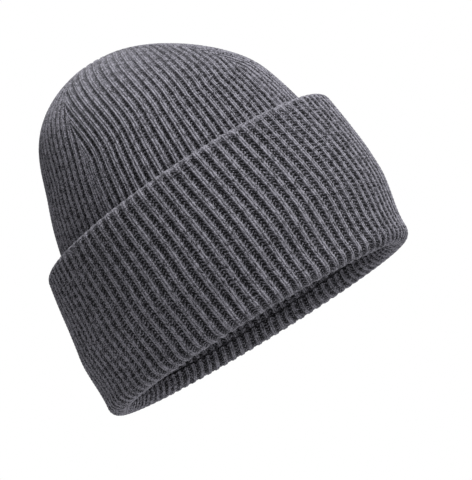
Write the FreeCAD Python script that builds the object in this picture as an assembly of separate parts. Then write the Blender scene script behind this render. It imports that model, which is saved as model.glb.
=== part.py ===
import FreeCAD, Part
import math
import os

# A knit beanie with a deep turned-up cuff, at the shape it has when it is worn.
# It is one double-layered tube of one-by-one rib knit: the outer shell and the lining lie on
# one another, both turn up at the brim, and the turned-up pair ends in a fold at the cuff's top.
# The ribs stand out on the faces that show, the cuff's and the crown's. Each quarter of the
# crown narrows to the top by losing ribs at its two sides, where it is sewn to its neighbours.
# Origin: middle of the hat's length and width, on the plane that the brim rests on.
# +Z runs to the crown, -Y to the forehead and +X to the wearer's left.

# Driving dimensions, in millimetres
hat_height = 186.0
brim_radius = 92.3          # mean radius of the outer shell where it meets the brim
oval_ratio = 0.78           # width over length of the hat, seen from above
crown_taper = 0.158         # share of the radius lost between brim and crown, before the dome
dome_power = 4.15           # how square the dome's shoulder is
forward_lean = 4.5          # how far the sides lean to the forehead above the brim
lean_height = 60.0          # height over which they do
back_slump = 15.5           # how far the crown falls to the back of the head
slump_start = 126.0         # height where it starts to

ply = 3.4                   # one layer of the rib knit
lay = 0.3                   # between layers or stitches that lie on one another
ribs = 96                   # round the hat, as many in each of the four quarters
rib_depth = 1.2             # from a rib's crest to the hollow beside it

cuff_height = 92.5          # mean height of the turned-up cuff
cuff_front_rise = 3.4       # the cuff is this much higher in front, and lower behind
cuff_stand_off = 5.0        # air between the cuff and the shell behind it
cuff_spread_height = 42.0   # height over which that air opens
cuff_flat_depth = 0.25      # how deep the fold at the cuff's top is pressed flat
brim_flat_depth = 0.5       # how deep the brim's roll is pressed flat where it rests
brim_turn_in = 10.0         # how far up inside the brim's roll reaches
cuff_wall_shares = (0.0, 0.2, 0.4, 0.7, 1.0)    # of its height, where ovals carry its swell
roll_shares = (0.0, 0.5, 1.0)                   # of a quarter of a roll, the same

dart_base_height = 122.0    # where the four crown darts start
dart_width = 2.4            # width of the sewn dart, across the seam
closing_radius = 5.0        # gathered closing stitches in the middle of the crown
crown_turns = (1.0, 10.0, 22.0, 33.0, 44.0, 55.0, 65.0, 75.0, 84.0)     # degrees round the dome

# Worked out from them
long_factor = math.sqrt(2.0 / (1.0 + oval_ratio ** 2))
wide_factor = long_factor * oval_ratio
lining_depth = ply + lay
cuff_layers = 2.0 * (ply + lay)
brim_fold_radius = (cuff_layers + lining_depth + ply) / 2.0
brim_roll_foot = brim_fold_radius - brim_flat_depth
cuff_fold_radius = (2.0 * ply + lay) / 2.0
cuff_roll_foot = cuff_height - cuff_fold_radius + cuff_flat_depth
lining_foot = brim_turn_in * (1.0 + cuff_front_rise / cuff_height) + 2.0 * lay
crown_rise = hat_height - dart_base_height
slab_reach = 2.0 * hat_height
plain_sides = 44
closing_sides = 16
ribbed_sides = 2 * ribs
quarter_sides = ribbed_sides // 4


def eased(share):
    share = min(max(share, 0.0), 1.0)
    return share * share * (3.0 - 2.0 * share)


def shell_radius(z):
    """Mean radius of the shell's outer face at height z."""
    t = min(max(z / hat_height, 0.0), 1.0)
    return brim_radius * (1.0 - crown_taper * t) * math.sqrt(1.0 - t ** dome_power)


def centre_y(z):
    """Middle of the oval at height z. The brim's and the cuff's middles lie evenly about the origin."""
    slump = eased((z - slump_start) / (hat_height - slump_start))
    return back_slump * slump + forward_lean * (0.5 - eased(z / lean_height))


def shell_normal(z):
    """Radial and upward parts of the square direction out of the shell's outer face."""
    step = 0.01
    run = (shell_radius(z - step) - shell_radius(z + step)) / (2.0 * step)
    size = math.hypot(1.0, run)
    return 1.0 / size, run / size


def even_turns(sides):
    """Angles of the corners round an oval, from the back of the hat."""
    return [2.0 * math.pi * side / sides for side in range(sides)]


def oval(turns, radius, offset, z, rise=0.0, y=None):
    """Corners round the hat: half axes from the mean radius plus an offset, the back lowered by rise."""
    y = centre_y(z) if y is None else y
    corners = [FreeCAD.Vector((radius * wide_factor + offset) * math.sin(turn),
                              y + (radius * long_factor + offset) * math.cos(turn),
                              z - rise * math.cos(turn)) for turn in turns]
    return corners + corners[:1]


def ribbed(crests, hollows):
    """Zigzag round the hat, from an oval through the ribs' crests and one through the hollows."""
    return [(hollows, crests)[side % 2][side] for side in range(ribbed_sides)] + hollows[:1]


def facet(*corners):
    return Part.Face(Part.makePolygon(corners + corners[:1]))


def sewn_edge(corners):
    """The corners without those that a dart has drawn onto the one before."""
    return [corner for before, corner in zip(corners, corners[1:]) if corner != before]


def loft(ovals, fanned=False):
    """Closed solid through a pile of ovals, in flat facets, with a flat or a fanned end above."""
    facets = [facet(*sewn_edge(ovals[0]))]
    if fanned:
        middle = sum(ovals[-1][1:], FreeCAD.Vector()) * (1.0 / len(ovals[-1][1:]))
        facets += [facet(low, high, middle) for low, high in zip(ovals[-1], ovals[-1][1:]) if low != high]
    else:
        facets.append(facet(*sewn_edge(ovals[-1])))
    for low, high in zip(ovals, ovals[1:]):
        for side in range(len(low) - 1):
            if low[side] != low[side + 1]:
                facets.append(facet(low[side], low[side + 1], high[side + 1]))
            if high[side] != high[side + 1]:
                facets.append(facet(low[side], high[side + 1], high[side]))
    return Part.Solid(Part.Shell(facets))


def shell_oval(z, depth, turns):
    """Oval that lies depth inside the shell's outer face, measured square to it."""
    radial, upward = shell_normal(z)
    return oval(turns, shell_radius(z), -depth * radial, z - depth * upward, y=centre_y(z))


def quarter_reach(z):
    """Crests and hollows on each side of a quarter's middle, fewer above the darts' base as it narrows."""
    share = min(shell_radius(z) / shell_radius(dart_base_height), 1.0)
    return max(round(quarter_sides / 2 * share), 2)


def ribbed_shell_oval(z, flat=False):
    """The zigzag of the shell's ribs at height z, in one plane if it is flat.

    The ribs past a quarter's edge lie on its dart, which is a hollow."""
    reach = quarter_reach(z)
    places = [side % quarter_sides - quarter_sides // 2 for side in range(ribbed_sides)]
    turns = [(side // quarter_sides + 0.5 + min(max(place, -reach), reach) / (2.0 * reach)) % 4.0 * math.pi / 2.0
             for side, place in enumerate(places)]
    hollows = oval(turns, shell_radius(z), -rib_depth, z) if flat else shell_oval(z, rib_depth, turns)
    corners = ribbed(shell_oval(z, 0.0, turns), hollows)
    for side, place in enumerate(places):
        if abs(place) >= reach:
            corners[side] = hollows[side]
    return corners


def crown_heights(bottom):
    """Heights of the ovals that carry the dome, evenly spread round its shoulder."""
    return [bottom] + [hat_height * math.sin(math.radians(turn)) ** (2.0 / dome_power) for turn in crown_turns]


def dome(bottom, depth, drop=0.0):
    """Closed solid under the surface that lies depth inside the shell's outer face, on down by drop."""
    below = [bottom - drop] if drop else []
    return loft([shell_oval(z, depth, even_turns(plain_sides)) for z in below + crown_heights(bottom)])


def ribbed_dome(bottom):
    """Closed solid under the ribs of the shell's outer face."""
    heights = crown_heights(bottom)
    return loft([ribbed_shell_oval(bottom, flat=True)] + [ribbed_shell_oval(z) for z in heights[1:]], fanned=True)


def post_at_crown(radius):
    """Upright post through the crown's middle, as many-sided as the closing stitches."""
    corners = [FreeCAD.Vector(radius * math.sin(turn), centre_y(hat_height) + radius * math.cos(turn), dart_base_height)
               for turn in even_turns(closing_sides)]
    return facet(*corners).extrude(FreeCAD.Vector(0.0, 0.0, hat_height))


def ridge_slump():
    """How far the crown's middle lies behind the middle of the oval at the darts' base."""
    return centre_y(hat_height) - centre_y(dart_base_height)


def dart_slab(width, bottom, across):
    """Upright slab through the crown's middle: front to back, or side to side along the slumped ridge."""
    slab = Part.makeBox(width, slab_reach, slab_reach, FreeCAD.Vector(-width / 2.0, -slab_reach / 2.0, -ply))
    if across:
        slab.rotate(FreeCAD.Vector(), FreeCAD.Vector(0, 0, 1), 90.0)
        slab.rotate(FreeCAD.Vector(), FreeCAD.Vector(1, 0, 0), -math.degrees(math.atan2(ridge_slump(), crown_rise)))
    slab.translate(FreeCAD.Vector(0.0, centre_y(dart_base_height), dart_base_height))
    above = FreeCAD.Vector(-slab_reach / 2.0, -slab_reach / 2.0, bottom)
    return slab.common(Part.makeBox(slab_reach, slab_reach, slab_reach, above))


def sewn_crown(wall):
    """Cut the darts and the closing hole out of a layer, and return it with its seams and closing stitches."""
    stitches = wall.common(post_at_crown(closing_radius))
    seams = {}
    cloth = wall.cut(post_at_crown(closing_radius + lay))
    for across, names in ((False, ("front", "back")), (True, ("right", "left"))):
        cloth = cloth.cut(dart_slab(dart_width, dart_base_height, across))
        strip = wall.common(dart_slab(dart_width - 2.0 * lay, dart_base_height + lay, across))
        strip = strip.cut(post_at_crown(closing_radius + lay))
        ends = sorted(strip.Solids, key=lambda end: end.CenterOfMass.x if across else end.CenterOfMass.y)
        seams.update(zip(names, ends))
    return cloth.Solids[0], seams, stitches.Solids[0]


def cuff_offset(z):
    """How far the cuff's outer face stands out from the shell's, at height z."""
    share = (z - brim_roll_foot) / (cuff_spread_height - brim_roll_foot)
    return cuff_layers + cuff_stand_off * eased(share)


def cuff_oval(z, inward, sides=plain_sides):
    """Oval that lies inward of the cuff's outer face, lowered behind and raised in front."""
    return oval(even_turns(sides), shell_radius(z), cuff_offset(z) - inward, z, cuff_front_rise * z / cuff_height)


def cuff_heights(bottom, top):
    return [bottom + (top - bottom) * share for share in cuff_wall_shares]


def cuff_body(bottom, top, inward):
    return loft([cuff_oval(z, inward) for z in cuff_heights(bottom, top)])


def roll_oval(radius, angle, foot, upward, depth, sides):
    """Oval on a roll of the cloth, depth inside its outer face, at an angle from the roll's flat."""
    inward = radius - (radius - depth) * math.sin(angle)
    return cuff_oval(foot + upward * (radius - depth) * math.cos(angle), inward, sides)


def ribbed_roll(radius, flat_depth, foot, upward):
    """Ovals round the outer quarter of a roll, from its flat to its side at the height foot."""
    first = math.acos(1.0 - flat_depth / radius)
    angles = [first + (math.pi / 2.0 - first) * share for share in roll_shares]
    return [ribbed(roll_oval(radius, angle, foot, upward, 0.0, ribbed_sides),
                   roll_oval(radius, angle, foot, upward, rib_depth, ribbed_sides)) for angle in angles]


def roll_hollow(radius, foot, upward, flat_depth):
    """Ovals of the space inside a roll, on past its flat and round the inner quarter to its side."""
    first = math.acos(1.0 - flat_depth / radius)
    ovals = [cuff_oval(foot + upward * (radius + ply), radius * (1.0 + math.sin(first)))]
    for share in roll_shares:
        angle = first + (math.pi / 2.0 - first) * share
        ovals.append(cuff_oval(foot + upward * radius * math.cos(angle), radius * (1.0 + math.sin(angle))))
    return ovals


def make_cuff_face():
    """The cuff's outer layer, with the roll of the brim below and the roll over the backing above."""
    wall = [ribbed(cuff_oval(z, 0.0, ribbed_sides), cuff_oval(z, rib_depth, ribbed_sides))
            for z in cuff_heights(brim_roll_foot, cuff_roll_foot)]
    brim = ribbed_roll(brim_fold_radius, brim_flat_depth, brim_roll_foot, -1.0)
    brim[0] = roll_oval(brim_fold_radius, math.acos(brim_roll_foot / brim_fold_radius), brim_roll_foot, -1.0,
                        0.0, ribbed_sides)
    top = ribbed_roll(cuff_fold_radius, cuff_flat_depth, cuff_roll_foot, 1.0)[::-1]
    face = loft(brim + wall[1:-1] + top, fanned=True)

    turned_in = 2.0 * brim_fold_radius
    mouth = loft(roll_hollow(brim_fold_radius, brim_roll_foot, -1.0, brim_flat_depth)
                 + [cuff_oval(brim_turn_in + ply, turned_in)])
    turned_edge = loft([cuff_oval(z, turned_in - ply) for z in (0.0, brim_turn_in)])
    pocket = cuff_body(ply, cuff_height - ply - lay, ply).cut(turned_edge)
    throat = cuff_oval(cuff_height - 3.0 * ply, 2.0 * cuff_fold_radius)
    neck = loft([throat] + roll_hollow(cuff_fold_radius, cuff_roll_foot, 1.0, cuff_flat_depth)[::-1])
    for space in (mouth, pocket, neck):
        face = face.cut(space)
    return face.Solids[0]


def make_cuff_backing():
    """The cuff's inner layer: the shell's cloth, turned up behind the cuff's face."""
    bottom = ply + lay
    top = cuff_height - ply - 2.0 * lay
    inward = ply + lay
    hollow = loft([cuff_oval(z, inward + ply) for z in cuff_heights(bottom - ply, top + ply)])
    return cuff_body(bottom, top, inward).cut(hollow).Solids[0]


def write(name, shape):
    shape.exportStep(f"parts/{name}.step")
    print(name, "valid" if shape.isValid() else "NOT VALID", round(shape.Volume), len(shape.Faces))


os.makedirs("parts", exist_ok=True)
shell_wall = ribbed_dome(ply + lay).cut(dome(ply + lay, ply, 2.0 * ply))
lining_wall = dome(lining_foot, lining_depth).cut(dome(lining_foot, lining_depth + ply, 2.0 * ply))
outer_shell, outer_seams, outer_stitches = sewn_crown(shell_wall)
lining, lining_seams, lining_stitches = sewn_crown(lining_wall)
write("outer_shell", outer_shell)
write("lining", lining)
write("cuff_face", make_cuff_face())
write("cuff_backing", make_cuff_backing())
write("crown_closing_stitches", outer_stitches)
write("lining_closing_stitches", lining_stitches)
for place in ("front", "back", "right", "left"):
    write(f"dart_seam_{place}", outer_seams[place])
    write(f"lining_dart_seam_{place}", lining_seams[place])
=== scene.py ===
import math
import bpy
import numpy as np
from mathutils import Matrix, Vector


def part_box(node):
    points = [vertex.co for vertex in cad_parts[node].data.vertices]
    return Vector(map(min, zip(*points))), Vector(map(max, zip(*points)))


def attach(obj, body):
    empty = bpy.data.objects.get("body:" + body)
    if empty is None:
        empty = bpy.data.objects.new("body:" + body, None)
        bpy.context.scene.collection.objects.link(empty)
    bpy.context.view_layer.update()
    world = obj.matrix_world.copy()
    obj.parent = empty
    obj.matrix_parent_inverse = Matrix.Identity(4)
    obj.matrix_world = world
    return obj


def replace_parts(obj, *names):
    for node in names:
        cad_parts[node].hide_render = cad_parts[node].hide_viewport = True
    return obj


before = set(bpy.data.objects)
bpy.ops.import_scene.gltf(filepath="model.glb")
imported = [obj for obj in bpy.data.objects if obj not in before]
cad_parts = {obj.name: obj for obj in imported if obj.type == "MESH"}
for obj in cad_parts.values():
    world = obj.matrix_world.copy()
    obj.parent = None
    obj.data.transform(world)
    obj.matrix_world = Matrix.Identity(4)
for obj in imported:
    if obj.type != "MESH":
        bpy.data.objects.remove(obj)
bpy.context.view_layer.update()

# The view: the hat at the shape it has when worn, seen from in front of the wearer's right and from
# a little below the brim, with the whole picture turned so that the crown leans left.
view_distance = 1.6
view_azimuth = math.radians(-50.0)
view_elevation = math.radians(-8.07)
view_roll = math.radians(30.41)
metres_per_pixel = 0.000583
frame_wide = 472
frame_high = 480
aim_point = Vector((0.0, 0.00225, 0.09))
aim_pixel = (183.1, 196.3)
sensor_wide = 36.0

away = Vector((math.sin(view_azimuth) * math.cos(view_elevation),
               -math.cos(view_azimuth) * math.cos(view_elevation), math.sin(view_elevation)))
level = Vector((math.cos(view_azimuth), math.sin(view_azimuth), 0.0))
upright = away.cross(level)
picture_right = math.cos(view_roll) * level - math.sin(view_roll) * upright
picture_up = math.sin(view_roll) * level + math.cos(view_roll) * upright
stand = aim_point + view_distance * away
target = aim_point + metres_per_pixel * ((frame_wide / 2 - aim_pixel[0]) * picture_right
                                         - (frame_high / 2 - aim_pixel[1]) * picture_up)
behind = (stand - target).normalized()
picture_right = (picture_right - behind * picture_right.dot(behind)).normalized()
camera_data = bpy.data.cameras.new("photo_view")
camera_data.sensor_fit = "HORIZONTAL"
camera_data.sensor_width = sensor_wide
camera_data.lens = sensor_wide * view_distance / (frame_wide * metres_per_pixel)
camera = bpy.data.objects.new("photo_view", camera_data)
camera.matrix_world = Matrix.Translation(stand) @ Matrix(
    (picture_right, behind.cross(picture_right), behind)).transposed().to_4x4()
bpy.context.scene.collection.objects.link(camera)
bpy.context.scene.camera = camera
bpy.context.scene.view_settings.view_transform = "Standard"


# The studio: a sheet of white paper well below the hat, a large soft lamp high in front of it on
# the picture's right, a weaker one low on its left, and weak white light from all round.
class Socket:
    """A node's output that can stand in Python sums, and that makes the nodes beside it."""

    def __init__(self, tree, output=None):
        self.tree = tree
        self.output = output

    def node(self, kind, settings=None, inputs=None, output=0):
        made = self.tree.nodes.new(kind)
        for name, value in (settings or {}).items():
            setattr(made, name, value)
        for name, value in (inputs or {}).items():
            if isinstance(value, Socket):
                self.tree.links.new(value.output, made.inputs[name])
            else:
                made.inputs[name].default_value = value
        return Socket(self.tree, made.outputs[output] if len(made.outputs) else None)

    def math(self, operation, *values):
        return self.node("ShaderNodeMath", {"operation": operation}, dict(enumerate(values)))

    def put(self, operation, *others):
        """This value put through a maths node, with any others after it."""
        return self.math(operation, self, *others)

    def __add__(self, other):
        return self.math("ADD", self, other)

    def __radd__(self, other):
        return self.math("ADD", other, self)

    def __sub__(self, other):
        return self.math("SUBTRACT", self, other)

    def __rsub__(self, other):
        return self.math("SUBTRACT", other, self)

    def __mul__(self, other):
        return self.math("MULTIPLY", self, other)

    def __rmul__(self, other):
        return self.math("MULTIPLY", other, self)

    def __truediv__(self, other):
        return self.math("DIVIDE", self, other)

    def stepped(self, low, high, to_low=0.0, to_high=1.0):
        """An eased step from to_low at low to to_high at high."""
        return self.node("ShaderNodeMapRange", {"interpolation_type": "SMOOTHSTEP"}, {
            "Value": self, "From Min": low, "From Max": high, "To Min": to_low, "To Max": to_high})


def new_material(name):
    material = bpy.data.materials.new(name)
    material.use_nodes = True
    material.node_tree.nodes.clear()
    return material, Socket(material.node_tree)


def to_camera(make):
    """One where a camera, a gloss or a clear surface looks, nothing where light is gathered."""
    camera_ray, glossy_ray, clear_ray = [
        make.node("ShaderNodeLightPath", output=name)
        for name in ("Is Camera Ray", "Is Glossy Ray", "Is Transmission Ray")]
    return camera_ray.put("MAXIMUM", glossy_ray.put("MAXIMUM", clear_ray))


floor_drop = 0.5
floor_half = 4.0
paper_white = 0.9
paper_grain = 0.01
paper_glow_share = 0.6      # of what a camera sees of the paper, the part that is plain white
white = (1.0, 1.0, 1.0, 1.0)
paper, make = new_material("studio_paper")
grain = make.node("ShaderNodeTexNoise", inputs={"Scale": 30.0, "Detail": 3.0})
tone = grain.stepped(0.2, 0.8, paper_white - paper_grain, paper_white)
paper_shade = make.node("ShaderNodeCombineColor", inputs={"Red": tone, "Green": tone, "Blue": tone})
paper_skin = make.node("ShaderNodeBsdfPrincipled", inputs={
    "Base Color": paper_shade, "Roughness": 0.9, "Specular IOR Level": 0.1})
paper_glow = make.node("ShaderNodeEmission", inputs={"Color": white, "Strength": 1.0})
make.node("ShaderNodeOutputMaterial", inputs={"Surface": make.node("ShaderNodeMixShader", inputs={
    0: to_camera(make) * paper_glow_share, 1: paper_skin, 2: paper_glow})})
sweep = bpy.data.meshes.new("studio_floor")
floor_corners = ((-floor_half, -floor_half), (floor_half, -floor_half),
                 (floor_half, floor_half), (-floor_half, floor_half))
sweep.from_pydata([(x, y, -floor_drop) for x, y in floor_corners], [], [(0, 1, 2, 3)])
sweep.materials.append(paper)
studio_floor = bpy.data.objects.new("studio_floor", sweep)
bpy.context.scene.collection.objects.link(studio_floor)

room_light = 0.25
world = bpy.data.worlds.new("studio_light")
world.use_nodes = True
world.node_tree.nodes.clear()
make = Socket(world.node_tree)
strength = to_camera(make).stepped(0.0, 1.0, room_light, 1.0)
room = make.node("ShaderNodeBackground", inputs={"Color": white, "Strength": strength})
make.node("ShaderNodeOutputWorld", inputs={"Surface": room})
bpy.context.scene.world = world


def soft_lamp(name, watts, size, place, aim=Vector((0.0, 0.0, 0.08))):
    data = bpy.data.lights.new(name, "AREA")
    data.energy = watts
    data.shape = "DISK"
    data.size = size
    lamp = bpy.data.objects.new(name, data)
    lamp.location = place
    lamp.rotation_euler = (place - aim).to_track_quat("Z", "Y").to_euler()
    bpy.context.scene.collection.objects.link(lamp)


overhead = Vector((0.0, 0.0, 1.0))
soft_lamp("key_lamp", 39.5, 0.8, 0.65 * away + 1.0 * level + 1.2 * overhead)
soft_lamp("fill_lamp", 3.0, 1.2, 1.3 * away - 0.6 * level + 0.2 * overhead)


# The outer shell: four wedges of one-by-one rib knit, spun of charcoal and pale grey wool, whose
# ribs run up from the brim and end on the sewn darts at forehead, back and sides. Each wedge is one
# ply of cloth, ribbed outside and plain inside, and its ribs and stitches stand up from the ply.
crown_flat = 0.0005         # how far the solid's facets stop short of the crown's own height
hat_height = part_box("outer_shell")[1].z + crown_flat
brim_radius = 0.0923
oval_ratio = 0.78
long_factor = math.sqrt(2.0 / (1.0 + oval_ratio ** 2))
wide_factor = long_factor * oval_ratio
crown_taper = 0.158
dome_power = 4.15
forward_lean = 0.0045
lean_height = 0.06
back_slump = 0.0155
slump_start = 0.126
profile_points = 1500
foot_points = 40            # put in at a profile's foot, where its other points lie far apart
ply = 0.0034
lay = 0.0003
cloth_back = 0.0030         # from the crest of a rib to the plain back of the ply
back_rows = 24
dart_base = 0.128
dart_pull = 0.0012          # width beside a dart where the sewing draws the ribs flat
gores = 4
seam_share = 0.75           # of the ribs that a wedge loses, those that end on one of its two darts
ribs = 96
gore_ribs = ribs // gores
rib_columns = (0.0, 0.08, 0.16, 0.23, 0.31, 0.385, 0.46, 0.54, 0.615, 0.69, 0.77, 0.84, 0.92)
rib_lean = 0.0022
lean_waves = ((1.0, 3.0, 21.0, 0.7), (0.8, 7.0, -46.0, 2.1),
              (0.6, 17.0, 90.0, 0.0), (0.5, 31.0, -130.0, 4.0))
course = 0.00215            # height of one row of stitches
rows_per_course = 4
plain_courses = 3.0         # height of a row of the mesh where the cuff hides the shell
plain_below = 0.078
rib_depth = 0.0011
leg_depth = 0.0006
purl_depth = 0.0006
cloth_sag = 0.0007
sag_scale = 28.0
crown_crest = 0.64          # share of a rib's width that its crest takes, on the shell
crest_blend = 0.11
leg_place = 0.45            # the middle of a stitch's leg and its half width, as shares of the crest
leg_half = 0.41
strand_slant = 1.4
purl_slant = 1.1
purl_columns = 2.4
crown_calm = 0.5            # how much of the ribs' depth is felted away at the top of the crown
crown_calm_from = 0.125
foot_fade = 0.02            # height over which a wedge's foot follows a slanted edge below it
fleck_scale = 1300.0
cloud_scale = 320.0
fibre_scale = 2600.0
# the dark end of the wool's colour mix is both the charcoal fibres and the near-black painted shade in the
# knit's gaps and hollows
dark_fibre_and_painted_shade = (0.004, 0.004, 0.005, 1.0)
wool_pale = (0.275, 0.268, 0.310, 1.0)
crease = math.radians(75.0)


def wander(turn, z):
    """Small uneven lean of the ribs round the hat, in radians, as a sum of waves."""
    return rib_lean * sum(size * np.sin(around * turn + up * z + start)
                          for size, around, up, start in lean_waves)


def eased(share):
    share = np.clip(share, 0.0, 1.0)
    return share * share * (3.0 - 2.0 * share)


def shell_radius(z):
    t = np.clip(z / hat_height, 0.0, 1.0)
    return brim_radius * (1.0 - crown_taper * t) * np.sqrt(1.0 - t ** dome_power)


def centre_y(z):
    slump = eased((z - slump_start) / (hat_height - slump_start))
    return back_slump * slump + forward_lean * (0.5 - eased(z / lean_height))


def run_along(radius, z):
    """Distance along a profile to each of its points."""
    return np.concatenate([[0.0], np.cumsum(np.hypot(np.diff(radius), np.diff(z)))])


def crown_profile(depth, bottom):
    """Dense profile of the surface that lies depth inside the shell's face: radius, height, shell height."""
    turn = np.linspace(0.0, math.pi / 2.0, profile_points)
    z = hat_height * np.sin(turn) ** (2.0 / dome_power)
    z = np.concatenate([np.linspace(0.0, z[1], foot_points)[:-1], z[1:]])
    radius = shell_radius(z)
    run_r = np.gradient(radius)
    run_z = np.gradient(z)
    size = np.hypot(run_r, run_z)
    keep = radius - depth * run_z / size
    height = z + depth * run_r / size
    show = (height > bottom) & (keep > 0.0)
    keep, height, parent = keep[show], height[show], z[show]
    return (np.concatenate([keep, [0.0]]), np.concatenate([height, height[-1:]]),
            np.concatenate([parent, parent[-1:]]))


def wale_columns(first, count, shares):
    """Places across a run of ribs, in ribs."""
    places = first + np.arange(count)[:, None] + np.array(shares)[None, :]
    return np.concatenate([places.ravel(), [first + count]])


def cloth_mesh(name, place, ids, wale, rise, out, facing, reverse):
    """Closed ply of cloth from a grid that is closed along its rows, with a wall at each end column."""
    used, where = np.unique(ids.ravel(), return_inverse=True)
    below = where.reshape(ids.shape)
    above = np.roll(below, -1, axis=0)
    quads = np.stack([below[:, :-1], above[:, :-1], above[:, 1:], below[:, 1:]], -1).reshape(-1, 4)
    if reverse:
        quads = quads[:, ::-1]
    same = np.stack([quads[:, side] == quads[:, (side + 1) % 4] for side in range(4)], -1)
    whole = quads[~same.any(1)]
    halves = [np.delete(quad, np.argmax(quad == np.roll(quad, -1))) for quad in quads[same.sum(1) == 1]]
    walls = []
    for side, turned in ((0, not reverse), (-1, reverse)):
        edge = below[:, side]
        edge = edge[np.concatenate([[True], edge[1:] != edge[:-1]])]
        walls.append(edge[::-1] if turned else edge)
    loops = np.concatenate([whole.ravel()] + halves + walls)
    sizes = np.concatenate([np.full(len(whole), 4), np.full(len(halves), 3), [len(wall) for wall in walls]])
    mesh = bpy.data.meshes.new(name)
    mesh.vertices.add(len(used))
    mesh.loops.add(len(loops))
    mesh.polygons.add(len(sizes))
    mesh.vertices.foreach_set("co", place.reshape(-1, 3)[used].ravel().astype(np.float32))
    mesh.loops.foreach_set("vertex_index", loops.astype(np.int32))
    mesh.polygons.foreach_set("loop_start", np.concatenate([[0], np.cumsum(sizes)[:-1]]).astype(np.int32))
    mesh.update(calc_edges=True)
    mesh.validate()
    for label, values in (("wale", wale), ("rise", rise), ("facing", facing)):
        mesh.attributes.new(label, "FLOAT", "POINT").data.foreach_set(
            "value", values.ravel()[used].astype(np.float32))
    mesh.attributes.new("outward", "FLOAT_VECTOR", "POINT").data.foreach_set(
        "vector", out.reshape(-1, 3)[used].ravel().astype(np.float32))
    piece = bpy.data.objects.new(name, mesh)
    bpy.context.scene.collection.objects.link(piece)
    return piece


def ring_grid(half_long, half_wide, middle, z, turn):
    """Points of a pile of ovals: one row per oval, one column per turn round the hat."""
    turn = turn + wander(turn, z)
    return np.stack(np.broadcast_arrays(half_wide * np.sin(turn), middle + half_long * np.cos(turn), z), -1)


def square_out(grid_before, grid_after, turn, flip):
    """Unit vectors square to the cloth, from a row's neighbours and the run of the oval."""
    along = grid_after - grid_before
    round_hat = np.stack([wide_factor * np.cos(turn), -long_factor * np.sin(turn), np.zeros_like(turn)], -1)
    out = np.cross(along, round_hat)
    out = out / np.maximum(np.linalg.norm(out, axis=-1, keepdims=True), 1e-12)
    return -out if flip else out


def crown_spot(radius, z, parent, turn):
    """Points of a crown surface: rows of its profile by turns round the hat."""
    outer = shell_radius(parent)
    depth = outer - radius
    flat = radius < 0.5 * outer
    half_long = np.where(flat, radius * long_factor, outer * long_factor - depth)
    half_wide = np.where(flat, radius * wide_factor, outer * wide_factor - depth)
    return ring_grid(half_long[:, None], half_wide[:, None], centre_y(parent)[:, None], z[:, None], turn)


def gore_piece(name, gore, bottom, face_depth, back_depth, shares, fineness, coarse_to, inward,
               foot_rise=0.0):
    """One wedge of a dome, between two darts: ribbed face, plain back, with fineness rows to a stitch."""
    face = crown_profile(face_depth, bottom)
    run = run_along(*face[:2])
    start = np.interp(coarse_to, face[1], run)
    fine = np.linspace(start, run[-1], int(round((run[-1] - start) / course * fineness)) + 1)
    coarse_count = int(start / (plain_courses * course)) + 1 if start > 0.0 else 0
    coarse = np.linspace(0.0, start, coarse_count, endpoint=False)
    at = np.concatenate([coarse, fine])
    back = crown_profile(back_depth, bottom)
    back_run = run_along(*back[:2])
    back_at = np.linspace(back_run[-1], 0.0, back_rows)
    row_radius, row_z, row_parent = [
        np.concatenate([np.interp(at, run, front), np.interp(back_at, back_run, rear)])
        for front, rear in zip(face, back)]
    row_facing = np.concatenate([np.ones(len(at)), np.zeros(len(back_at))])

    wales = wale_columns(gore * gore_ribs, gore_ribs, shares)
    share = np.minimum(row_radius / np.interp(dart_base, face[1], face[0]), 1.0)
    lost = gore_ribs * (1.0 - share)
    at_first = gore * gore_ribs + lost * (seam_share if gore % 2 == 0 else 1.0 - seam_share)
    at_last = at_first + gore_ribs * share
    kept = np.clip(wales[None, :], at_first[:, None], at_last[:, None])
    across = (kept - at_first[:, None]) / np.maximum(at_last - at_first, 1e-6)[:, None]
    turn = (gore + across) * math.pi / 2.0
    first = np.searchsorted(wales, at_first + 1e-9) - 1
    last = np.searchsorted(wales, at_last - 1e-9)
    column = np.clip(np.arange(len(wales))[None, :], first[:, None], last[:, None])
    ids = np.arange(len(row_z))[:, None] * len(wales) + column
    apex = row_radius < 1e-6
    ids[apex] = ids[apex][:, :1]

    def spot(rows):
        return crown_spot(row_radius[rows], row_z[rows], row_parent[rows], turn)

    here = np.arange(len(row_z))
    place = spot(here)
    place[..., 2] -= foot_rise * np.cos(turn) * (1.0 - eased((row_z - bottom) / foot_fade))[:, None]
    out = square_out(spot(np.maximum(here - 1, 0)), spot(np.minimum(here + 1, len(at) - 1)), turn, inward)
    out[apex] = (0.0, 0.0, -1.0 if inward else 1.0)
    rise = np.repeat(np.concatenate([at, back_at])[:, None] / course, len(wales), 1)
    ribs_in = np.minimum(kept - at_first[:, None], at_last[:, None] - kept)
    from_dart = ribs_in * 2.0 * math.pi / ribs * row_radius[:, None] / np.maximum(share, 1e-6)[:, None]
    calm = 1.0 - crown_calm * eased((row_z - crown_calm_from) / (hat_height - crown_calm_from))
    facing = (row_facing * calm)[:, None] * np.clip(from_dart / dart_pull, 0.0, 1.0) ** 0.5
    return cloth_mesh(name, place, ids, kept, rise, out, facing, inward)


def wave(run):
    """A wave from nothing to one, for each whole number of the run."""
    return 0.5 + 0.5 * (run * (2.0 * math.pi)).put("COSINE")


def stitches(wale, rise, crest_share):
    """Masks of the knit: a rib's crest, its legs of yarn, their strands, and the bumps in the hollow."""
    from_crest = (wale.put("FRACT") - 0.5).put("ABSOLUTE") * 2.0
    crest = from_crest.stepped(crest_share - crest_blend, crest_share + crest_blend, 1.0, 0.0)
    off_leg = (from_crest - crest_share * leg_place) / (crest_share * leg_half)
    leg = (1.0 - off_leg * off_leg).put("MAXIMUM", 0.0)
    strand = wave(rise - from_crest * strand_slant)
    bump = wave(rise + (1.0 - from_crest) * purl_slant)
    column = wave((1.0 - from_crest) * purl_columns)
    return crest, leg, strand, bump * 0.65 + column * bump * 0.35


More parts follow.
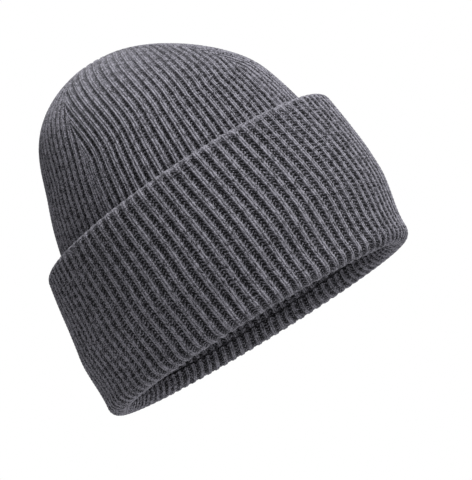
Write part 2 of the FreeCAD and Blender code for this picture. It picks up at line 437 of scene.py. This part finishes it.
def knit_tree():
    """The modifier that raises ribs and stitches from a plain ply, from its wale and row numbers."""
    tree = bpy.data.node_groups.new("rib_knit", "GeometryNodeTree")
    tree.interface.new_socket("Geometry", in_out="INPUT", socket_type="NodeSocketGeometry")
    for label, size in (("Rib Depth", rib_depth), ("Leg Depth", leg_depth), ("Purl Depth", purl_depth),
                        ("Sag", cloth_sag), ("Crest Share", crown_crest)):
        tree.interface.new_socket(label, in_out="INPUT", socket_type="NodeSocketFloat").default_value = size
    tree.interface.new_socket("Yarn", in_out="INPUT", socket_type="NodeSocketMaterial")
    tree.interface.new_socket("Geometry", in_out="OUTPUT", socket_type="NodeSocketGeometry")
    entry = tree.nodes.new("NodeGroupInput")
    given = {socket.name: Socket(tree, socket) for socket in entry.outputs if socket.name}
    make = Socket(tree)

    def attribute(label, kind="FLOAT"):
        return make.node("GeometryNodeInputNamedAttribute", {"data_type": kind}, {"Name": label})

    crest, leg, strand, bump = stitches(attribute("wale"), attribute("rise"), given["Crest Share"])
    dip = (given["Rib Depth"] * (1.0 - crest)
           + given["Leg Depth"] * (1.0 - leg * (strand * 0.35 + 0.65)) * crest
           + given["Purl Depth"] * (1.0 - bump) * (1.0 - crest))
    slack = make.node("ShaderNodeTexNoise", inputs={
        "Vector": make.node("GeometryNodeInputPosition"), "Scale": sag_scale, "Detail": 2.0})
    height = ((slack - 0.5) * given["Sag"] - dip) * attribute("facing")
    shove = make.node("ShaderNodeVectorMath", {"operation": "SCALE"},
                      {"Vector": attribute("outward", "FLOAT_VECTOR"), "Scale": height})
    moved = make.node("GeometryNodeSetPosition", inputs={"Geometry": given["Geometry"], "Offset": shove})
    solid = make.node("GeometryNodeRealizeInstances", inputs={"Geometry": moved})
    dressed = make.node("GeometryNodeSetMaterial", inputs={"Geometry": solid, "Material": given["Yarn"]})
    make.node("NodeGroupOutput", inputs={"Geometry": dressed})
    return tree


def heather_yarn(name, crest_share):
    """Charcoal wool flecked with pale fibres, with painted shade that darkens the gaps between its strands
    and the hollows between its ribs.
    """
    material, make = new_material(name)
    spot = make.node("ShaderNodeTexCoord", output="Object")
    fleck = make.node("ShaderNodeTexNoise", inputs={
        "Vector": spot, "Scale": fleck_scale, "Detail": 3.0, "Roughness": 0.75})
    cloud = make.node("ShaderNodeTexNoise", inputs={"Vector": spot, "Scale": cloud_scale, "Detail": 3.0})
    fibre = make.node("ShaderNodeTexNoise", inputs={"Vector": spot, "Scale": fibre_scale, "Detail": 2.0})
    wale, rise, facing = [make.node("ShaderNodeAttribute", {"attribute_name": label}, output="Fac")
                          for label in ("wale", "rise", "facing")]
    crest, leg, strand, bump = stitches(wale + (fleck - 0.5) * 0.30, rise + (cloud - 0.5) * 1.9, crest_share)
    # painted shade: darkest in the gaps between the strands and between the bumps down in the hollows,
    # lightest on the raised legs of each stitch; where the ribs are drawn flat, and on the plain back, it
    # gives way to an even middle tone
    stitch_relief_and_painted_shade = crest * (0.24 + leg * (0.44 + 0.30 * strand)) + (1.0 - crest) * bump * bump * 0.66
    stitch_relief_and_painted_shade = stitch_relief_and_painted_shade * facing + 0.62 * (1.0 - facing)
    tuft = (fleck.stepped(0.36, 0.64) * 0.55 + cloud.stepped(0.35, 0.65) * 0.25
            + fibre.stepped(0.35, 0.65) * 0.2)
    # the mix factor: the heather's random pale and dark tufts, times the painted shade of the stitches
    shade = stitch_relief_and_painted_shade * (3.30 * tuft - 0.70)
    colour = make.node("ShaderNodeMix", {"data_type": "RGBA"}, {"Factor": shade, 6: dark_fibre_and_painted_shade, 7: wool_pale},
                       output=2)
    # the bump height follows the same stitch pattern as the painted shade, with the flecks added
    raised = stitch_relief_and_painted_shade * 0.8 + fleck * 0.12 + fibre * 0.08
    relief = make.node("ShaderNodeBump", inputs={"Strength": 0.6, "Distance": 0.0006, "Height": raised})
    skin = make.node("ShaderNodeBsdfPrincipled", inputs={
        "Base Color": colour, "Roughness": fibre.stepped(0.2, 0.8, 0.85, 1.0), "Normal": relief,
        "Specular IOR Level": 0.12, "Sheen Weight": 0.2, "Sheen Roughness": 0.5,
        "Sheen Tint": (0.6, 0.6, 0.64, 1.0)})
    make.node("ShaderNodeOutputMaterial", inputs={"Surface": skin})
    return material


def worked(piece, tree, inputs):
    """Run a tree over a piece and keep the result as the piece's own mesh."""
    modifier = piece.modifiers.new(tree.name, "NODES")
    modifier.node_group = tree
    for item in tree.interface.items_tree:
        if item.in_out == "INPUT" and item.name in inputs:
            modifier[item.identifier] = inputs[item.name]
    made = bpy.data.meshes.new_from_object(piece.evaluated_get(bpy.context.evaluated_depsgraph_get()))
    piece.modifiers.remove(modifier)
    plain = piece.data
    piece.data = made
    bpy.data.meshes.remove(plain)
    made.name = piece.name
    made.shade_smooth()
    return piece


def knitted(piece, yarn, crest_share):
    """The ply with its ribs and stitches raised."""
    worked(piece, rib_knit, {"Yarn": yarn, "Crest Share": crest_share})
    piece.data.set_sharp_from_angle(angle=crease)
    return piece


crown_wool = heather_yarn("charcoal_heather", crown_crest)
rib_knit = knit_tree()
for gore in range(gores):
    shell = gore_piece(f"shell_gore_{gore + 1}", gore, ply + lay, 0.0, cloth_back, rib_columns,
                       rows_per_course, plain_below, False)
    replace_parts(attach(knitted(shell, crown_wool, crown_crest), "root"), "outer_shell")


# The cuff's outer layer: the deep turn-up, whose ribs run from inside the brim, down round the
# brim's roll, up the face and over the roll at the top. It is the same cloth as the shell, with
# wider ribs where it stretches round the layers below it, and it stands a little away from them.
cuff_height = 0.0925
cuff_front_rise = 0.0034
cuff_layers = 2.0 * (ply + lay)
cuff_stand_off = 0.005
cuff_spread_height = 0.042
brim_press = 0.0005         # how deep each roll is pressed flat
cuff_press = 0.00025
brim_fold_radius = (cuff_layers + 2.0 * ply + lay) / 2.0
brim_roll_foot = brim_fold_radius - brim_press
brim_turn_in = 0.010
cuff_fold_radius = (2.0 * ply + lay) / 2.0
cuff_roll_foot = cuff_height - cuff_fold_radius + cuff_press
turned_edge = 0.0004        # how far the cloth goes on down behind the roll at the top
cuff_course = 0.00207
cuff_back_step = 0.004
cuff_sectors = 4
cuff_slant = 1.7            # how far the cloth is turned askew, in radians per metre of height
cuff_crest = 0.51           # stretched cloth opens between its ribs, so their crests are narrower
fold_calm = 0.75            # how much of the ribs' depth the fold at the top evens out
fold_run = 0.0026
brim_calm = 0.55
brim_run = 0.0022


def cuff_spot(inward, z, turn):
    """Points of the cuff, inward of its outer face: rows of a path by columns of turn."""
    spread = eased((z - brim_roll_foot) / (cuff_spread_height - brim_roll_foot))
    stand = cuff_layers + cuff_stand_off * spread - inward
    radius = shell_radius(z)
    raised = z[:, None] - (cuff_front_rise * z / cuff_height)[:, None] * np.cos(turn)
    askew = turn + (cuff_slant * (z - cuff_height / 2.0))[:, None]
    return ring_grid((radius * long_factor + stand)[:, None], (radius * wide_factor + stand)[:, None],
                     centre_y(z)[:, None], raised, askew)


def arc(inward, z, radius, first, last, count=40):
    """Bend of a path of cloth: angles in degrees from straight out, turning up."""
    angle = np.radians(np.linspace(first, last, count))
    return inward - radius * np.cos(angle), z + radius * np.sin(angle)


def straight(inward, z, count=40):
    return np.linspace(*inward, count), np.linspace(*z, count)


def joined(*stretches):
    return [np.concatenate(parts) for parts in zip(*stretches)]


def evenly(inward, z, step):
    """A path's places in equal steps along it, and how far along each one lies."""
    run = run_along(inward, z)
    at = np.linspace(0.0, run[-1], max(int(round(run[-1] / step)), 1) + 1)
    return np.interp(at, run, inward), np.interp(at, run, z), at


def cuff_piece(name, first_rib, count, knit_path, back_path, shares, row_step, inward_face, calmed=1.0):
    """Part of a ring of cloth between two troughs, knitted along one path and plain along the other."""
    face_in, face_z, at = evenly(*knit_path, row_step)
    back_in, back_z, _ = evenly(*back_path, cuff_back_step)
    wales = wale_columns(first_rib, count, shares)
    turn = wales / ribs * 2.0 * math.pi
    place = cuff_spot(np.concatenate([face_in, back_in]), np.concatenate([face_z, back_z]), turn)
    here = np.arange(len(place))
    last = len(face_z) - 1
    before = place[np.clip(here - 1, 0, last)]
    after = place[np.clip(here + 1, 0, last)]
    out = square_out(before, after, turn[None, :], inward_face)
    from_top = at - at[np.argmax(face_z)] + fold_run / 2.0
    from_brim = at - at[np.argmin(face_z)]
    calm = calmed * (fold_calm * np.exp(-(from_top / fold_run) ** 2)
                     + brim_calm * np.exp(-(from_brim / brim_run) ** 2))
    facing = np.concatenate([1.0 - calm, np.zeros(len(back_z))])
    rise = np.concatenate([at, np.zeros(len(back_z))]) / cuff_course
    ids = np.arange(len(here) * len(wales)).reshape(len(here), len(wales))
    across = np.ones((1, len(wales)))
    return cloth_mesh(name, place, ids, wales[None, :] * np.ones((len(here), 1)), rise[:, None] * across,
                      out, facing[:, None] * across, inward_face)


brim_inside = 2.0 * brim_fold_radius
roll_inside = 2.0 * cuff_fold_radius
cloth_end = cuff_roll_foot - turned_edge
cuff_knit_path = joined(
    straight((brim_inside, brim_inside), (brim_turn_in, brim_roll_foot), 8),
    arc(brim_fold_radius, brim_roll_foot, brim_fold_radius, 180.0, 360.0),
    straight((0.0, 0.0), (brim_roll_foot, cuff_roll_foot)),
    arc(cuff_fold_radius, cuff_roll_foot, cuff_fold_radius, 0.0, 180.0),
    straight((roll_inside, roll_inside), (cuff_roll_foot, cloth_end), 3))
cuff_back_path = joined(
    straight((roll_inside - cloth_back, cloth_back), (cloth_end, cloth_end), 4),
    straight((cloth_back, cloth_back), (cloth_end, brim_roll_foot)),
    arc(brim_fold_radius, brim_roll_foot, brim_fold_radius - cloth_back, 360.0, 180.0),
    straight((brim_inside - cloth_back, brim_inside - cloth_back), (brim_roll_foot, brim_turn_in), 3))
sector_ribs = ribs // cuff_sectors
cuff_wool = heather_yarn("stretched_heather", cuff_crest)
for sector in range(cuff_sectors):
    cuff = cuff_piece(f"cuff_sector_{sector + 1}", sector * sector_ribs, sector_ribs, cuff_knit_path,
                      cuff_back_path, rib_columns, cuff_course / rows_per_course, False)
    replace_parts(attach(knitted(cuff, cuff_wool, cuff_crest), "root"), "cuff_face")


# The cuff's inner layer: the shell's own cloth, turned up behind the cuff's face. Only its ribbed
# side shows, down in the gap between the cuff and the crown.
backing_outer = ply + lay
backing_top = cuff_height - ply - 2.0 * lay
backing_back = backing_outer + ply - cloth_back
backing_knit_path = straight((backing_outer + ply, backing_outer + ply), (backing_outer, backing_top))
backing_back_path = straight((backing_back, backing_back), (backing_top, backing_outer))
coarse_columns = (0.0, 0.2, 0.35, 0.5, 0.65, 0.8)
backing = cuff_piece("cuff_backing_cloth", 0, ribs, backing_knit_path, backing_back_path, coarse_columns,
                     cuff_course, True, 0.0)
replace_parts(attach(knitted(backing, cuff_wool, cuff_crest), "root"), "cuff_backing")


# The lining: a second dome of the same rib knit inside the shell, ribbed side to the head. It meets
# the brim's turned-in edge below, and its four wedges end on darts just under the shell's.
lining_depth = ply + lay + ply
lining_clear = 0.00005
lining_foot = brim_turn_in + lining_clear
lining_foot_rise = cuff_front_rise * brim_turn_in / cuff_height
lining_rows = 2
for gore in range(gores):
    lining = gore_piece(f"lining_gore_{gore + 1}", gore, lining_foot, lining_depth, lining_depth - cloth_back,
                        coarse_columns, lining_rows, 0.0, True, lining_foot_rise)
    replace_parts(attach(knitted(lining, cuff_wool, cuff_crest), "root"), "lining")


# The sewing: where two wedges of a dome meet, a row of small overcast stitches in a darker yarn
# draws their edges together, and in the middle of the crown a ring of stitches gathers all four.
stitch_step = 0.0022
stitch_reach = 0.0012
yarn_radius = 0.00038
seam_depth = 0.0009
closing_stitches = 14
closing_reach = 0.0032
beside_seam = 0.02          # a small turn round the hat, in radians, that gives the cloth's slope
yarn_scale = 900.0
yarn_dark = (0.008, 0.008, 0.010, 1.0)
yarn_pale = (0.13, 0.13, 0.145, 1.0)


def sewing_yarn(name):
    """Two-ply yarn, darker than the knit, with its twist as fine slanted bands."""
    material, make = new_material(name)
    spot = make.node("ShaderNodeTexCoord", output="Object")
    twist = make.node("ShaderNodeTexWave", {"bands_direction": "DIAGONAL"},
                      {"Vector": spot, "Scale": yarn_scale, "Distortion": 3.0, "Detail": 2.0}, output=1)
    fleck = make.node("ShaderNodeTexNoise", inputs={"Vector": spot, "Scale": yarn_scale, "Detail": 3.0})
    shade = twist * 0.35 + fleck.stepped(0.3, 0.7) * 0.65
    colour = make.node("ShaderNodeMix", {"data_type": "RGBA"}, {"Factor": shade, 6: yarn_dark, 7: yarn_pale},
                       output=2)
    relief = make.node("ShaderNodeBump", inputs={"Strength": 0.5, "Distance": 0.0002, "Height": shade})
    skin = make.node("ShaderNodeBsdfPrincipled", inputs={
        "Base Color": colour, "Roughness": fleck.stepped(0.2, 0.8, 0.85, 1.0), "Normal": relief,
        "Specular IOR Level": 0.12, "Sheen Weight": 0.15})
    make.node("ShaderNodeOutputMaterial", inputs={"Surface": skin})
    return material


def stitch_tree():
    """One short arch of yarn on each point of a seam, turned to lie across it."""
    tree = bpy.data.node_groups.new("overcast_stitches", "GeometryNodeTree")
    tree.interface.new_socket("Geometry", in_out="INPUT", socket_type="NodeSocketGeometry")
    for label, size in (("Reach", stitch_reach), ("Yarn Radius", yarn_radius)):
        tree.interface.new_socket(label, in_out="INPUT", socket_type="NodeSocketFloat").default_value = size
    tree.interface.new_socket("Yarn", in_out="INPUT", socket_type="NodeSocketMaterial")
    tree.interface.new_socket("Geometry", in_out="OUTPUT", socket_type="NodeSocketGeometry")
    entry = tree.nodes.new("NodeGroupInput")
    given = {socket.name: Socket(tree, socket) for socket in entry.outputs if socket.name}
    make = Socket(tree)

    def reached(across, slant, height):
        """A place in a stitch, in shares of its reach."""
        return make.node("ShaderNodeCombineXYZ", inputs={
            "X": given["Reach"] * across, "Y": given["Reach"] * slant, "Z": given["Reach"] * height})

    arch = make.node("GeometryNodeCurvePrimitiveBezierSegment", inputs={
        "Resolution": 6, "Start": reached(-1.0, -0.45, -0.5), "Start Handle": reached(-0.6, -0.3, 0.45),
        "End Handle": reached(0.6, 0.3, 0.45), "End": reached(1.0, 0.45, -0.5)})
    section = make.node("GeometryNodeCurvePrimitiveCircle", inputs={
        "Resolution": 6, "Radius": given["Yarn Radius"]})
    yarn = make.node("GeometryNodeCurveToMesh", inputs={
        "Curve": arch, "Profile Curve": section, "Fill Caps": True})
    angles = make.node("GeometryNodeInputNamedAttribute", {"data_type": "FLOAT_VECTOR"}, {"Name": "spin"})
    spin = make.node("FunctionNodeEulerToRotation", inputs={"Euler": angles})
    sewn = make.node("GeometryNodeInstanceOnPoints", inputs={
        "Points": given["Geometry"], "Instance": yarn, "Rotation": spin})
    solid = make.node("GeometryNodeRealizeInstances", inputs={"Geometry": sewn})
    dressed = make.node("GeometryNodeSetMaterial", inputs={"Geometry": solid, "Material": given["Yarn"]})
    make.node("NodeGroupOutput", inputs={"Geometry": dressed})
    return tree


def sewn_row(name, points, ahead, up):
    """A row of stitches at points, each lying across the way ahead and arching up."""
    across = np.cross(ahead, up)
    across /= np.linalg.norm(across, axis=1, keepdims=True)
    ahead = np.cross(up, across)
    ahead /= np.linalg.norm(ahead, axis=1, keepdims=True)
    up = np.cross(across, ahead)
    spins = [Matrix(sides).transposed().to_euler() for sides in zip(across, ahead, up)]
    mesh = bpy.data.meshes.new(name)
    mesh.from_pydata(points.tolist(), [], [])
    mesh.attributes.new("spin", "FLOAT_VECTOR", "POINT").data.foreach_set("vector", np.array(spins).ravel())
    row = bpy.data.objects.new(name, mesh)
    bpy.context.scene.collection.objects.link(row)
    return worked(row, overcast, {"Yarn": seam_yarn})


def dart_rows(depth, side):
    """Points, ways ahead and ways out along all four darts of a dome, at a depth inside the shell."""
    radius, z, parent = crown_profile(depth, dart_base)
    run = run_along(radius * long_factor, z)
    at = np.arange(0.0, run[-1] - closing_reach, stitch_step)
    row = [np.interp(at, run, values) for values in (radius, z, parent)]
    rows = []
    for quarter in range(gores):
        turn = np.full((len(at), 1), quarter * math.pi / 2.0)
        points = crown_spot(*row, turn)[:, 0]
        ahead = np.gradient(points, axis=0)
        beside = crown_spot(*row, turn + beside_seam)[:, 0] - points
        up = np.cross(beside, ahead)
        up = up / np.maximum(np.linalg.norm(up, axis=1, keepdims=True), 1e-12)
        rows.append((points, ahead, up * side * np.sign((up * points).sum(1, keepdims=True))))
    return [np.concatenate(parts) for parts in zip(*rows)]


def closing_ring(depth, side):
    """Points, ways ahead and ways out of the ring of stitches that gathers a dome's top."""
    turn = np.arange(closing_stitches) / closing_stitches * 2.0 * math.pi
    middle = np.array([0.0, centre_y(hat_height), hat_height - depth])
    outward = np.stack([np.sin(turn), np.cos(turn), np.zeros_like(turn)], -1)
    ahead = np.stack([np.cos(turn), -np.sin(turn), np.zeros_like(turn)], -1)
    up = np.repeat([[0.0, 0.0, float(side)]], closing_stitches, 0)
    return middle + outward * closing_reach / 2.0, ahead, up


seam_yarn = sewing_yarn("seam_yarn")
overcast = stitch_tree()
lining_seam_depth = lining_depth - seam_depth
for title, depth, side, nodes in (("dart_stitches", seam_depth, 1, "dart_seam"),
                                  ("lining_dart_stitches", lining_seam_depth, -1, "lining_dart_seam")):
    seam = sewn_row(title, *dart_rows(depth, side))
    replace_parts(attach(seam, "root"), *[f"{nodes}_{place}" for place in ("front", "back", "right", "left")])
for title, depth, side, node in (("closing_stitches", seam_depth, 1, "crown_closing_stitches"),
                                 ("lining_closing_row", lining_seam_depth, -1, "lining_closing_stitches")):
    ring = sewn_row(title, *closing_ring(depth, side))
    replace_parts(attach(ring, "root"), node)
